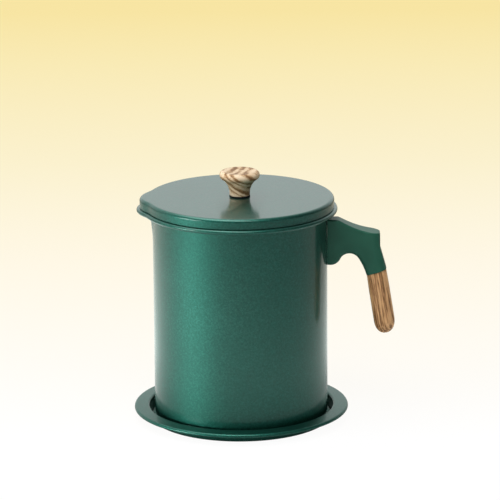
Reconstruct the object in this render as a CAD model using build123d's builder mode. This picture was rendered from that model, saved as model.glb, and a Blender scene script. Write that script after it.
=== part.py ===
from build123d import *
from math import cos, radians, sin, sqrt
import os

os.makedirs("parts", exist_ok=True)

# Bacon grease container: a round pot with a pouring spout stands in a drip tray. A strainer cup hangs
# in its mouth and a beaked lid with a turned knob closes it. The pot's axis is Z, the tray's underside
# is z = 0, the spout points to -X and the handle to +X. Millimetres.

# ---------------------------------------------------------------- driving dimensions
# Drip tray, pressed from one sheet
tray_sheet = 1.2
tray_clearance = 2.0          # radial, between the pot and the tray's wall
tray_wall_lean = 1.9          # how much wider the wall is at its top
tray_depth = 9.2              # underside to the inner edge of the flange
tray_flange_width = 10.3      # from the wall's top to the outer edge
tray_flange_drop = 0.5        # fall of the flange towards its edge
tray_lip_height = 2.4
tray_lip_width = 1.7
tray_bend = 1.6
tray_corner = 1.2             # bevel where the wall meets the floor

# Pot, drawn from one sheet with a rolled rim
pot_radius = 60.0
pot_height = 148.45
pot_sheet = 0.8
pot_base_round = 4.5
rim_overhang = 7.05           # rolled edge beyond the wall
rim_roll = 3.0                # thickness of the rolled edge
rim_flat = 0.12               # left upright between the roundings of the rolled edge
mouth_flare = 2.5             # widening of the mouth at the rim
mouth_flare_height = 3.4

# Pouring spout and the beak of the lid, which share one plan
spout_inset = 19.0            # centre of the nose, inside the pot's wall
spout_reach = 4.0             # nose beyond the round edge
spout_junction = 36.0         # hollow radius where the nose leaves the round edge
channel_radius = 17.3         # pouring channel pressed into the wall
channel_bulge = 2.0
channel_height = 20.0
channel_lip_height = 5.0

# Lid
lid_sheet = 0.8
lid_height = 7.35
lid_ledge = 2.2               # rolled rim left showing outside the lid
lid_edge_round = 2.8

# Knob and what holds it
knob_base_radius = 6.95
knob_waist_radius = 7.9
knob_shoulder_radius = 11.4
knob_head_radius = 13.8
knob_top_radius = 12.0
knob_waist_height = 6.0
knob_shoulder_height = 11.1
knob_head_height = 14.6
knob_height = 17.0
knob_dish = 0.7
gasket_radius = 7.2
gasket_height = 0.9
screw_radius = 2.5
screw_head_radius = 4.6
screw_head_height = 3.0
screw_head_bevel = 1.2
screw_reach = 9.0             # thread inside the insert
recess_length = 5.0
recess_width = 1.2
recess_depth = 1.6
washer_radius = 6.5
washer_height = 1.0
insert_radius = 4.2
insert_height = 11.0
insert_groove_depth = 0.5
insert_groove_height = 2.0
hole_clearance = 0.3          # radial, round plain shanks
thread_clearance = 0.05       # radial, between a thread and its nut

# Strainer
strainer_sheet = 0.6
strainer_clearance = 0.8      # radial, between the cup and the pot's wall
strainer_depth = 38.0
strainer_flange_gap = 0.7     # radial, between the flange and the lid's skirt
strainer_bend = 1.2           # bevel between the wall and the flange, and the wall and the shoulder
strainer_ledge = 11.5         # width of the shoulder that carries the mesh
mesh_thickness = 0.5
mesh_overlap = 5.0            # how far the mesh lies on the shoulder
mesh_hole_sides = 6
mesh_hole_radius = 2.9        # centre to corner
mesh_pitch = 11.5             # between rings of holes
mesh_rings = 3
mesh_ring_holes = 6           # a ring has this many holes more than the ring inside it
ring_height = 0.8
ring_width = 4.0

# Handle arm, moulded, and its grip
handle_lean = 9.0             # degrees, the grip's axis leans out from upright
seam_lean = 15.5              # degrees, the joint between arm and grip rises outwards
seam_offset = 33.8            # where the grip's axis crosses the seam, from the pot's wall
seam_drop = 37.2              # from the arm's top down to that point
grip_width = 14.4
grip_depth = 16.4
grip_length = 45.4
grip_outer_round = 6.8
grip_inner_round = 3.8
grip_end_radius = 13.4
grip_end_round = 3.7
arm_root_depth = 9.8
arm_drop = 8.9                # from the rim's top down to the arm's top
arm_shoulder = 6.6            # flat top next to the pot
arm_nose = 36.3               # end face from the pot's wall
arm_fall = 9.6                # from the arm's top down to the nose
arm_nose_height = 10.2
arm_hollow = 16.1             # a point in the hollow of the arm's back, from the pot's wall
arm_hollow_fall = 4.3         # how far it lies below the arm's top
arm_brow_radius = 4.0
arm_brow_turn = 27.0          # degrees
arm_nose_slope = 0.1          # of the back where it meets the nose
arm_neck_lean = 16.0          # degrees, the arm's inner side leans in from upright at the seam
arm_ease_radius = 42.0
arm_ease_turn = 18.0          # degrees
arm_arch_radius = 7.1
arm_arch_turn = 121.0
arm_lobe_radius = 7.6
arm_lobe_turn = 62.0
arm_edge_round = 1.1
arm_arch_round = 3.0
arm_seat_gap = 0.1
tenon_width = 7.0
tenon_depth = 9.0
tenon_round = 2.8
tenon_length = 6.0
tenon_root = 3.0              # inside the arm, so that the tenon grows out of it
tenon_gap = 0.1
stud_radius = 2.0
stud_length = 34.0
stud_point = 0.6              # bevel at the stud's ends

# Bracket welded to the pot, and the screw that holds the arm on it
bracket_sheet = 1.5
bracket_width = 6.8
bracket_drop = 5.4            # from the arm's top down to the bracket's top
bracket_height = 21.0
tongue_width = 5.4
tongue_length = 11.0
tongue_height = 8.0
tongue_rise = 4.4             # from the bracket's foot up to the tongue's
tongue_round = 1.4
bracket_gap = 0.2
arm_screw_offset = 4.2        # from the pot's wall
arm_screw_radius = 1.5
arm_screw_end_gap = 0.6       # left between the screw's end and the tongue's top
arm_screw_head_radius = 2.75
arm_screw_head_height = 2.0
arm_screw_head_bevel = 0.7
arm_screw_sink = 3.0          # counterbore depth
arm_recess_length = 3.4
arm_recess_depth = 1.2

# ---------------------------------------------------------------- places worked out from them
tray_floor_radius = pot_radius + tray_clearance
tray_wall_top_radius = tray_floor_radius + tray_wall_lean
tray_flange_radius = tray_wall_top_radius + tray_flange_width
pot_floor = tray_sheet
rim_top = pot_floor + pot_height
rim_radius = pot_radius + rim_overhang
mouth_radius = pot_radius - pot_sheet
spout_centre = pot_radius - spout_inset
lid_radius = rim_radius - lid_ledge
lid_top = rim_top + lid_height
lid_under = lid_top - lid_sheet
knob_base = lid_top + gasket_height
cup_radius = mouth_radius - strainer_clearance
cup_floor = rim_top - strainer_depth
arm_top = rim_top - arm_drop
arm_nose_top = arm_top - arm_fall
bracket_foot = arm_top - bracket_drop - bracket_height
tongue_foot = bracket_foot + tongue_rise
seam_point = (pot_radius + seam_offset, arm_top - seam_drop)
axis_down = (sin(radians(handle_lean)), 0, -cos(radians(handle_lean)))
axis_across = (cos(radians(handle_lean)), 0, sin(radians(handle_lean)))
grip_plane = Plane(origin=(seam_point[0], 0, seam_point[1]), x_dir=axis_across, z_dir=axis_down)
seam_along = (cos(radians(seam_lean)), 0, sin(radians(seam_lean)))
seam_down = (sin(radians(seam_lean)), 0, -cos(radians(seam_lean)))
seam_plane = Plane(origin=grip_plane.origin, x_dir=seam_along, z_dir=seam_down)
seam_half = grip_width / 2 / cos(radians(seam_lean - handle_lean))
seam_inner_end = Vector(*seam_point) - Vector(seam_along[0], seam_along[2]) * seam_half
seam_outer_end = Vector(*seam_point) + Vector(seam_along[0], seam_along[2]) * seam_half


def disc(radius, height, centre=0.0):
    """A round face at a height, its centre on the X axis."""
    with BuildSketch(Plane.XY.offset(height)) as face:
        with Locations((centre, 0)):
            Circle(radius)
    return face.sketch


def beaked_disc(radius, height):
    """A round face with the pouring nose on its -X side, joined to it by hollow arcs."""
    nose_radius = radius + spout_reach - spout_centre
    far = radius + spout_junction
    near = nose_radius + spout_junction
    hollow_x = -(far**2 - near**2 + spout_centre**2) / (2 * spout_centre)
    hollow_centre = Vector(hollow_x, sqrt(far**2 - hollow_x**2))
    nose_centre = Vector(-spout_centre, 0)
    on_round = hollow_centre * (radius / far)
    on_nose = nose_centre + (hollow_centre - nose_centre) * (nose_radius / near)
    with BuildSketch(Plane.XY.offset(height)) as face:
        with BuildLine():
            nose = TangentArc((-radius - spout_reach, 0), on_nose, tangent=(0, 1))
            hollow = TangentArc(on_nose, on_round, tangent=nose % 1)
            TangentArc(on_round, (radius, 0), tangent=hollow % 1)
            mirror(about=Plane.XZ)
        make_face()
    return face.sketch


def tube(outer, inner, height):
    """A flat ring at a height."""
    with BuildSketch(Plane.XY.offset(height)) as face:
        Circle(outer)
        Circle(inner, mode=Mode.SUBTRACT)
    return face.sketch


# ---------------------------------------------------------------- drip tray
with BuildPart() as drip_tray:
    tray_edge_top = tray_depth - tray_flange_drop
    with BuildSketch(Plane.XZ) as tray_section:
        with BuildLine():
            Polyline(
                (0, 0),
                (tray_floor_radius + tray_sheet, 0),
                (tray_wall_top_radius + tray_sheet, tray_depth - tray_sheet),
                (tray_flange_radius - tray_lip_width, tray_edge_top - tray_sheet),
                (tray_flange_radius - tray_lip_width, tray_edge_top - tray_lip_height),
                (tray_flange_radius, tray_edge_top - tray_lip_height),
                (tray_flange_radius, tray_edge_top),
                (tray_wall_top_radius, tray_depth),
                (tray_floor_radius, tray_sheet),
                (0, tray_sheet),
                close=True,
            )
        make_face()
        wall_ends = tray_section.vertices().filter_by(
            lambda v: tray_floor_radius <= v.X <= tray_wall_top_radius + tray_sheet
        )
        chamfer(wall_ends.sort_by(Axis.Y)[:2], length=tray_corner)
        fillet(wall_ends.sort_by(Axis.Y)[2:], radius=tray_bend)
        lip = tray_section.vertices().filter_by(lambda v: v.X > tray_flange_radius - tray_sheet)
        fillet(lip, radius=tray_lip_width / 2)
    revolve(axis=Axis.Z)
drip_tray.part.label = "drip_tray"
export_step(drip_tray.part, "parts/drip_tray.step")

# ---------------------------------------------------------------- pot
with BuildPart() as pot_shell:
    # Rolled rim: a flat flange whose edge is turned down and under
    extrude(beaked_disc(rim_radius, rim_top - rim_roll), amount=rim_roll)
    fillet(pot_shell.edges(), radius=(rim_roll - rim_flat) / 2)
    extrude(
        beaked_disc(rim_radius - rim_roll, rim_top - rim_roll),
        amount=rim_roll - pot_sheet,
        mode=Mode.SUBTRACT,
    )
    # Wall, mouth flare and pouring channel, as outer forms
    flare_foot = rim_top - mouth_flare_height
    channel_foot = rim_top - channel_height
    channel_lip = rim_top - channel_lip_height
    channel_in = pot_radius - channel_radius
    channel_out = channel_in + channel_bulge
    mouth_nose = mouth_radius + mouth_flare + spout_reach - spout_centre
    extrude(disc(pot_radius, pot_floor), amount=pot_height - pot_sheet)
    loft(
        sections=(
            disc(pot_radius, flare_foot - pot_sheet),
            disc(pot_radius + mouth_flare, rim_top - pot_sheet),
        )
    )
    loft(
        sections=(
            disc(channel_radius, channel_foot, -channel_in),
            disc(channel_radius, channel_lip, -channel_out),
        )
    )
    loft(
        sections=(
            disc(channel_radius, channel_lip, -channel_out),
            disc(mouth_nose + pot_sheet, rim_top - pot_sheet, -spout_centre),
        )
    )
    # The same forms one sheet smaller, taken out
    extrude(disc(mouth_radius, pot_floor + pot_sheet), amount=pot_height, mode=Mode.SUBTRACT)
    loft(
        sections=(disc(mouth_radius, flare_foot), disc(mouth_radius + mouth_flare, rim_top)),
        mode=Mode.SUBTRACT,
    )
    loft(
        sections=(
            disc(channel_radius - pot_sheet, channel_foot, -channel_in),
            disc(channel_radius - pot_sheet, channel_lip, -channel_out),
        ),
        mode=Mode.SUBTRACT,
    )
    loft(
        sections=(
            disc(channel_radius - pot_sheet, channel_lip, -channel_out),
            disc(mouth_nose, rim_top, -spout_centre),
        ),
        mode=Mode.SUBTRACT,
    )
    # Rounded corner of the base, inside and out
    fillet(pot_shell.edges().group_by(Axis.Z)[1], radius=pot_base_round - pot_sheet)
    fillet(pot_shell.edges().group_by(Axis.Z)[0], radius=pot_base_round)
pot_shell.part.label = "pot_shell"
export_step(pot_shell.part, "parts/pot_shell.step")

# ---------------------------------------------------------------- strainer cup
flange_radius = lid_radius - lid_sheet - strainer_flange_gap
with BuildPart() as strainer_cup:
    with BuildSketch(Plane.XZ) as cup_section:
        with BuildLine():
            Polyline(
                (flange_radius, rim_top),
                (cup_radius, rim_top),
                (cup_radius, cup_floor),
                (cup_radius - strainer_ledge, cup_floor),
                (cup_radius - strainer_ledge, cup_floor + strainer_sheet),
                (cup_radius - strainer_sheet, cup_floor + strainer_sheet),
                (cup_radius - strainer_sheet, rim_top + strainer_sheet),
                (flange_radius, rim_top + strainer_sheet),
                close=True,
            )
        make_face()
        wall_bends = cup_section.vertices().filter_by(
            lambda v: cup_radius - strainer_ledge < v.X < flange_radius
        )
        chamfer(wall_bends, length=strainer_bend)
    revolve(axis=Axis.Z)
strainer_cup.part.label = "strainer_cup"
export_step(strainer_cup.part, "parts/strainer_cup.step")

# ---------------------------------------------------------------- strainer mesh and its ring
mesh_height = cup_floor + strainer_sheet
mesh_radius = cup_radius - strainer_ledge + mesh_overlap
with BuildPart() as strainer_mesh:
    extrude(disc(mesh_radius, mesh_height), amount=mesh_thickness)
    with BuildSketch(Plane.XY.offset(mesh_height)):
        RegularPolygon(mesh_hole_radius, mesh_hole_sides)
        for ring in range(1, mesh_rings + 1):
            with PolarLocations(ring * mesh_pitch, mesh_ring_holes * ring):
                RegularPolygon(mesh_hole_radius, mesh_hole_sides)
    extrude(amount=mesh_thickness, mode=Mode.SUBTRACT)
strainer_mesh.part.label = "strainer_mesh"
export_step(strainer_mesh.part, "parts/strainer_mesh.step")

with BuildPart() as strainer_ring:
    extrude(tube(mesh_radius, mesh_radius - ring_width, mesh_height + mesh_thickness), amount=ring_height)
strainer_ring.part.label = "strainer_ring"
export_step(strainer_ring.part, "parts/strainer_ring.step")

# ---------------------------------------------------------------- lid
with BuildPart() as lid_shell:
    extrude(beaked_disc(lid_radius, rim_top), amount=lid_height)
    fillet(lid_shell.edges().group_by(Axis.Z)[-1], radius=lid_edge_round)
    offset(amount=-lid_sheet, openings=lid_shell.faces().sort_by(Axis.Z)[0])
    extrude(disc(screw_radius + hole_clearance, lid_under), amount=lid_sheet, mode=Mode.SUBTRACT)
lid_shell.part.label = "lid_shell"
export_step(lid_shell.part, "parts/lid_shell.step")

# ---------------------------------------------------------------- knob
with BuildPart() as lid_knob:
    with BuildSketch(Plane.XZ):
        with BuildLine():
            foot = Line((0, knob_base), (knob_base_radius, knob_base))
            flank = ThreePointArc(
                foot @ 1,
                (knob_waist_radius, knob_base + knob_waist_height),
                (knob_shoulder_radius, knob_base + knob_shoulder_height),
            )
            dish = TangentArc(
                (0, knob_base + knob_height - knob_dish),
                (knob_top_radius, knob_base + knob_height),
                tangent=(1, 0),
            )
            ThreePointArc(flank @ 1, (knob_head_radius, knob_base + knob_head_height), dish @ 1)
            Line(dish @ 0, foot @ 0)
        make_face()
    revolve(axis=Axis.Z)
    extrude(disc(insert_radius, knob_base), amount=insert_height, mode=Mode.SUBTRACT)
lid_knob.part.label = "lid_knob"
export_step(lid_knob.part, "parts/lid_knob.step")

with BuildPart() as knob_gasket:
    extrude(tube(gasket_radius, screw_radius + hole_clearance, lid_top), amount=gasket_height)
knob_gasket.part.label = "knob_gasket"
export_step(knob_gasket.part, "parts/knob_gasket.step")

with BuildPart() as knob_insert:
    extrude(tube(insert_radius, screw_radius + thread_clearance, knob_base), amount=insert_height)
    groove_foot = knob_base + (insert_height - insert_groove_height) / 2
    extrude(
        tube(insert_radius, insert_radius - insert_groove_depth, groove_foot),
        amount=insert_groove_height,
        mode=Mode.SUBTRACT,
    )
knob_insert.part.label = "knob_insert"
export_step(knob_insert.part, "parts/knob_insert.step")

with BuildPart() as knob_washer:
    washer_foot = lid_under - washer_height
    extrude(tube(washer_radius, screw_radius + hole_clearance, washer_foot), amount=washer_height)
knob_washer.part.label = "knob_washer"
export_step(knob_washer.part, "parts/knob_washer.step")

with BuildPart() as knob_screw:
    shank_length = knob_base + screw_reach - washer_foot
    extrude(disc(screw_head_radius, washer_foot), amount=-screw_head_height)
    chamfer(knob_screw.edges().group_by(Axis.Z)[0], length=screw_head_bevel)
    extrude(disc(screw_radius, washer_foot), amount=shank_length)
    with BuildSketch(Plane.XY.offset(washer_foot - screw_head_height)):
        Rectangle(recess_length, recess_width)
        Rectangle(recess_width, recess_length)
    extrude(amount=recess_depth, mode=Mode.SUBTRACT)
knob_screw.part.label = "knob_screw"
export_step(knob_screw.part, "parts/knob_screw.step")

# ---------------------------------------------------------------- handle bracket
with BuildPart() as handle_bracket:
    with BuildSketch(Plane.XY.offset(bracket_foot)):
        Circle(pot_radius + bracket_sheet)
        Circle(pot_radius, mode=Mode.SUBTRACT)
        with Locations((pot_radius, 0)):
            Rectangle(pot_radius, bracket_width, mode=Mode.INTERSECT)
    extrude(amount=bracket_height)
    with BuildSketch(Plane.XY.offset(tongue_foot)):
        with Locations((pot_radius + bracket_sheet / 2, 0)):
            Rectangle(tongue_length, tongue_width, align=(Align.MIN, Align.CENTER))
    extrude(amount=tongue_height)
    outer_corners = handle_bracket.edges().filter_by(Axis.Z).group_by(Axis.X)[-1]
    fillet(outer_corners, radius=tongue_round)
    arm_screw_hole = disc(arm_screw_radius + thread_clearance, tongue_foot, pot_radius + arm_screw_offset)
    extrude(arm_screw_hole, amount=tongue_height, mode=Mode.SUBTRACT)
handle_bracket.part.label = "handle_bracket"
export_step(handle_bracket.part, "parts/handle_bracket.step")


# ---------------------------------------------------------------- handle arm
def handle_section(inner_edge, start):
    """Section across the grip's axis: round outside, narrowing from there towards the pot."""
    taper = (grip_depth - arm_root_depth) / 2 / seam_offset
    half_width = grip_width / 2
    inner_half = grip_depth / 2 - taper * inner_edge
    outer_half = grip_depth / 2 + taper * half_width
    with BuildSketch(grip_plane.offset(start)) as section:
        with BuildLine():
            Polyline(
                (-inner_edge, -inner_half),
                (half_width, -outer_half),
                (half_width, outer_half),
                (-inner_edge, inner_half),
                close=True,
            )
        make_face()
        fillet(section.vertices().group_by(Axis.X)[-1], radius=grip_outer_round)
        fillet(section.vertices().group_by(Axis.X)[0], radius=grip_inner_round)
    return section.sketch


def axis_oval(gap, start):
    """The tenon's section with a gap around it, at a distance down the grip's axis from the seam."""
    with BuildSketch(grip_plane.offset(start)) as section:
        RectangleRounded(tenon_width + 2 * gap, tenon_depth + 2 * gap, tenon_round + gap)
    return section.sketch


def axis_disc(radius, start):
    """A round face across the grip's axis, at a distance down it from the seam."""
    with BuildSketch(grip_plane.offset(start)) as section:
        Circle(radius)
    return section.sketch


with BuildPart() as handle_arm:
    extrude(handle_section(seam_offset + arm_root_depth, -arm_top), amount=2 * arm_top)
    # Side view: the neck, the arch over the fingers, the lobe, the back and the nose
    neck_up = Vector(-sin(radians(arm_neck_lean)), cos(radians(arm_neck_lean)))
    nose_x = pot_radius + arm_nose
    nose_foot = arm_nose_top - arm_nose_height
    with BuildSketch(Plane.XZ.offset(-grip_depth)):
        with BuildLine():
            neck = Line(seam_inner_end - neck_up * grip_width, seam_inner_end)
            ease = JernArc(neck @ 1, neck % 1, arm_ease_radius, arm_ease_turn)
            arch = JernArc(ease @ 1, ease % 1, arm_arch_radius, arm_arch_turn)
            lobe = JernArc(arch @ 1, arch % 1, arm_lobe_radius, -arm_lobe_turn)
            foot = Line(lobe @ 1, (pot_radius - pot_base_round, (lobe @ 1).Y))
            root = Line(foot @ 1, (pot_radius - pot_base_round, arm_top))
            flat = Line(root @ 1, (pot_radius + arm_shoulder, arm_top))
            brow = JernArc(flat @ 1, flat % 1, arm_brow_radius, -arm_brow_turn)
            back = Spline(
                brow @ 1,
                (pot_radius + arm_hollow, arm_top - arm_hollow_fall),
                (nose_x, arm_nose_top),
                tangents=(brow % 1, (1, -arm_nose_slope)),
            )
            Polyline(
                back @ 1,
                (nose_x, nose_foot),
                seam_outer_end,
                seam_outer_end + (grip_width, -grip_width),
                neck @ 0,
            )
        make_face()
    extrude(amount=2 * grip_depth, mode=Mode.INTERSECT)
    extrude(disc(pot_radius + arm_seat_gap, 0), amount=rim_top, mode=Mode.SUBTRACT)
    split(bisect_by=seam_plane, keep=Keep.BOTTOM)
    # Rounded edges: fine along the back, full under the arch and down the inside of the neck
    past_wall = pot_radius + arm_edge_round
    arch_peak = max(edge.bounding_box().max.Y for edge in (ease, arch, lobe))
    back_edges = handle_arm.edges().filter_by(
        lambda e: e.bounding_box().min.Z > arm_nose_top - arm_edge_round
        and e.center().X > past_wall
        and (abs(e.center().Y) > arm_edge_round or e.center().X > nose_x - arm_edge_round)
    )
    fillet(back_edges, radius=arm_edge_round)
    arch_edges = handle_arm.edges().filter_by(
        lambda e: e.center().Z < arch_peak + arm_edge_round
        and past_wall < e.center().X < seam_inner_end.X + arm_edge_round
        and abs(e.center().Y) > grip_inner_round
        and e.bounding_box().size.Y < arm_root_depth / 2
    )
    fillet(arch_edges, radius=arm_arch_round)
    # Slot that slides over the bracket, and the sunk hole for its screw
    arm_foot = (lobe @ 1).Y
    with BuildSketch(Plane.XY.offset(bracket_foot - bracket_gap)):
        with Locations((pot_radius, 0)):
            Rectangle(2 * (bracket_sheet + bracket_gap), bracket_width + 2 * bracket_gap)
    extrude(amount=bracket_height + 2 * bracket_gap, mode=Mode.SUBTRACT)
    with BuildSketch(Plane.XY.offset(tongue_foot - bracket_gap)):
        with Locations((pot_radius, 0)):
            Rectangle(
                bracket_sheet + tongue_length + bracket_gap,
                tongue_width + 2 * bracket_gap,
                align=(Align.MIN, Align.CENTER),
            )
    extrude(amount=tongue_height + 2 * bracket_gap, mode=Mode.SUBTRACT)
    extrude(
        disc(arm_screw_head_radius + hole_clearance, 0, pot_radius + arm_screw_offset),
        amount=arm_foot + arm_screw_sink,
        mode=Mode.SUBTRACT,
    )
    extrude(
        disc(arm_screw_radius + hole_clearance, 0, pot_radius + arm_screw_offset),
        amount=tongue_foot,
        mode=Mode.SUBTRACT,
    )
    # Tenon that keys the grip, and the hole for the stud that holds it
    extrude(axis_oval(0, -tenon_root), amount=tenon_root + tenon_length)
    extrude(
        axis_disc(stud_radius + thread_clearance, -stud_length / 2),
        amount=stud_length,
        mode=Mode.SUBTRACT,
    )
handle_arm.part.label = "handle_arm"
export_step(handle_arm.part, "parts/handle_arm.step")

# ---------------------------------------------------------------- arm screw
with BuildPart() as handle_screw:
    screw_seat = arm_foot + arm_screw_sink
    screw_x = pot_radius + arm_screw_offset
    screw_top = tongue_foot + tongue_height - arm_screw_end_gap
    extrude(disc(arm_screw_head_radius, screw_seat, screw_x), amount=-arm_screw_head_height)
    chamfer(handle_screw.edges().group_by(Axis.Z)[0], length=arm_screw_head_bevel)
    extrude(disc(arm_screw_radius, screw_seat, screw_x), amount=screw_top - screw_seat)
    with BuildSketch(Plane.XY.offset(screw_seat - arm_screw_head_height)):
        with Locations((screw_x, 0)):
            Rectangle(arm_recess_length, recess_width)
            Rectangle(recess_width, arm_recess_length)
    extrude(amount=arm_recess_depth, mode=Mode.SUBTRACT)
handle_screw.part.label = "handle_screw"
export_step(handle_screw.part, "parts/handle_screw.step")

# ---------------------------------------------------------------- grip
with BuildPart() as handle_grip:
    extrude(handle_section(grip_width / 2, -grip_width), amount=grip_width + grip_length)
    # Domed end
    dome_reach = (grip_width + grip_depth) / 2 - grip_inner_round
    dome_shoulder = grip_length - grip_end_radius + sqrt(grip_end_radius**2 - dome_reach**2)
    with BuildSketch(Plane(origin=grip_plane.origin, x_dir=axis_across, z_dir=(0, 1, 0))):
        with BuildLine():
            side = Polyline((0, -grip_width), (dome_reach, -grip_width), (dome_reach, dome_shoulder))
            TangentArc((0, grip_length), side @ 1, tangent=(1, 0))
            Line((0, grip_length), side @ 0)
        make_face()
    revolve(axis=Axis(grip_plane.origin, axis_down), mode=Mode.INTERSECT)
    end_edges = handle_grip.edges().filter_by(
        lambda e: (e.center() - grip_plane.origin).dot(grip_plane.z_dir) > dome_shoulder
    )
    fillet(end_edges, radius=grip_end_round)
    split(bisect_by=seam_plane, keep=Keep.TOP)
    extrude(
        axis_oval(tenon_gap, -grip_width),
        amount=grip_width + tenon_length + tenon_gap,
        mode=Mode.SUBTRACT,
    )
    extrude(axis_disc(stud_radius + thread_clearance, 0), amount=stud_length / 2, mode=Mode.SUBTRACT)
handle_grip.part.label = "handle_grip"
export_step(handle_grip.part, "parts/handle_grip.step")

with BuildPart() as grip_stud:
    extrude(axis_disc(stud_radius, -stud_length / 2), amount=stud_length)
    chamfer(grip_stud.edges().filter_by(GeomType.CIRCLE), length=stud_point)
grip_stud.part.label = "grip_stud"
export_step(grip_stud.part, "parts/grip_stud.step")
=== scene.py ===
from math import atan2, ceil, cos, degrees, hypot, pi, radians, sin, sqrt, tan

import bmesh
import bpy
from mathutils import Matrix, Vector


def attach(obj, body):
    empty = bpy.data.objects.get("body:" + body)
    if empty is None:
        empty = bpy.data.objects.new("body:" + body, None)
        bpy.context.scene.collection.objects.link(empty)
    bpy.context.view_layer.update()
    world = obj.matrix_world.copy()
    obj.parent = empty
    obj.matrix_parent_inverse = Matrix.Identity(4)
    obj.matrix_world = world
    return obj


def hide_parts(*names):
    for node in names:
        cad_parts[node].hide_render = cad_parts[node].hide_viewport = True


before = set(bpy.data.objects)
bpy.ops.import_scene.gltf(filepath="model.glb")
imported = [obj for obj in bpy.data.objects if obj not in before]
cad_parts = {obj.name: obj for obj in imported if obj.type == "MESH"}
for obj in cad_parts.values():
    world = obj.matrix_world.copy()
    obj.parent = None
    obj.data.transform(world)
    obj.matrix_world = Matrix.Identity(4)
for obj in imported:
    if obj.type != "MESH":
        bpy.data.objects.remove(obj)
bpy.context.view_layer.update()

# Bacon grease container: a round pot with a pouring spout stands in a drip tray. A strainer cup hangs in
# its mouth and a beaked lid with a turned knob closes it. The pot's axis is Z, the tray's underside is
# z = 0, the spout points to -X and the handle to +X. Shapes are written in millimetres.
MM = 0.001

# ------------------------------------------------------------------ sizes of the frame
# Drip tray
TRAY_SHEET = 1.2
TRAY_CLEARANCE = 2.0          # radial, between the pot and the tray's wall
TRAY_LEAN = 1.9               # how much wider the wall is at its top
TRAY_DEPTH = 9.2              # underside to the inner edge of the flange
TRAY_FLANGE = 10.3            # from the wall's top to the outer edge
TRAY_DROP = 0.5               # fall of the flange towards its edge
TRAY_LIP_HEIGHT = 2.4
TRAY_LIP_WIDTH = 1.7

# Pot
POT_RADIUS = 60.0
POT_HEIGHT = 148.45
POT_SHEET = 0.8
POT_ROUND = 4.5               # between the floor and the wall
RIM_OVERHANG = 7.05           # rolled edge beyond the wall
RIM_ROLL = 3.0                # thickness of the rolled edge
MOUTH_FLARE = 2.5             # widening of the mouth at the rim
MOUTH_FLARE_HEIGHT = 3.4

# Pouring spout and the beak of the lid, which share one plan
SPOUT_INSET = 19.0            # centre of the nose, inside the pot's wall
SPOUT_REACH = 4.0             # nose beyond the round edge
SPOUT_JUNCTION = 36.0         # hollow radius where the nose leaves the round edge
CHANNEL_RADIUS = 17.3         # pouring channel pressed into the wall
CHANNEL_BULGE = 2.0
CHANNEL_HEIGHT = 20.0         # from the rim's top down to the channel's foot
CHANNEL_LIP = 5.0             # from the rim's top down to where the channel opens wide

# Lid, knob and gasket
LID_SHEET = 0.8
LID_HEIGHT = 7.35
LID_LEDGE = 2.2               # rolled rim left showing outside the lid
LID_HOLE = 2.8                # radius of the hole for the knob's screw
GASKET_RADIUS = 7.2
GASKET_HEIGHT = 0.9
KNOB_BASE_RADIUS = 6.95
KNOB_WAIST = (7.9, 6.0)       # radius, and height above the knob's foot
KNOB_SHOULDER = (11.4, 11.1)
KNOB_HEAD = (13.8, 14.6)
KNOB_TOP = (12.0, 17.0)
KNOB_DISH = 0.7               # depth of the hollow in the knob's top

# Handle
ARM_DROP = 8.9                # from the rim's top down to the arm's top
SEAM_OFFSET = 33.8            # where the grip's axis crosses the seam, from the pot's wall
SEAM_DROP = 37.2              # from the arm's top down to that point
GRIP_LEAN = radians(9.0)      # of the grip's axis, outwards from upright
SEAM_LEAN = radians(15.5)     # rise of the seam between arm and grip, outwards
GRIP_WIDTH = 14.4
GRIP_DEPTH = 16.4
GRIP_INNER_ROUND = 3.8        # of the section's edges towards the pot
GRIP_OUTER_ROUND = 6.8        # and away from it

# Strainer
CUP_GAP = 0.8                 # radial, between the cup and the pot's inside
CUP_SHEET = 0.6
CUP_DEPTH = 38.0
CUP_LEDGE = 11.5              # width of the shoulder that carries the mesh
CUP_LID_GAP = 0.7             # radial, between the cup's flange and the lid's skirt
MESH_OVERLAP = 5.0            # how far the mesh lies on the shoulder
MESH_THICKNESS = 0.5

RIM_TOP = TRAY_SHEET + POT_HEIGHT
RIM_RADIUS = POT_RADIUS + RIM_OVERHANG
SPOUT_CENTRE = POT_RADIUS - SPOUT_INSET
LID_RADIUS = RIM_RADIUS - LID_LEDGE
LID_TOP = RIM_TOP + LID_HEIGHT
KNOB_FOOT = LID_TOP + GASKET_HEIGHT
CUP_RADIUS = POT_RADIUS - POT_SHEET - CUP_GAP
CUP_FLOOR = RIM_TOP - CUP_DEPTH

# ------------------------------------------------------------------ points of a profile
# A profile is a list of (radius, height) points.


def rounded(corners, step=12):
    """A run of (radius, height, rounding) corners as points, the arcs in steps of so many degrees."""
    points = []
    last = len(corners) - 1
    for i, (x, y, size) in enumerate(corners):
        if size == 0 or i in (0, last):
            points.append((x, y))
            continue
        here = Vector((x, y))
        back = Vector(corners[i - 1][:2]) - here
        ahead = Vector(corners[i + 1][:2]) - here
        opening = back.angle(ahead)
        reach = size / tan(opening / 2)
        start = here + back.normalized() * reach
        end = here + ahead.normalized() * reach
        middle = here + (back.normalized() + ahead.normalized()).normalized() * (size / sin(opening / 2))
        first = start - middle
        final = end - middle
        turn = pi - opening
        steps = max(2, ceil(degrees(turn) / step))
        sign = 1 if first.x * final.y - first.y * final.x > 0 else -1
        for k in range(steps + 1):
            a = sign * turn * k / steps
            across = middle.x + first.x * cos(a) - first.y * sin(a)
            height = middle.y + first.x * sin(a) + first.y * cos(a)
            points.append((across, height))
    return points


def arc_points(centre, radius, start, end, steps):
    """Points on an arc round a centre, from one angle to another in degrees."""
    turn = [radians(start + (end - start) * k / steps) for k in range(steps + 1)]
    return [(centre[0] + radius * cos(a), centre[1] + radius * sin(a)) for a in turn]


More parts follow.
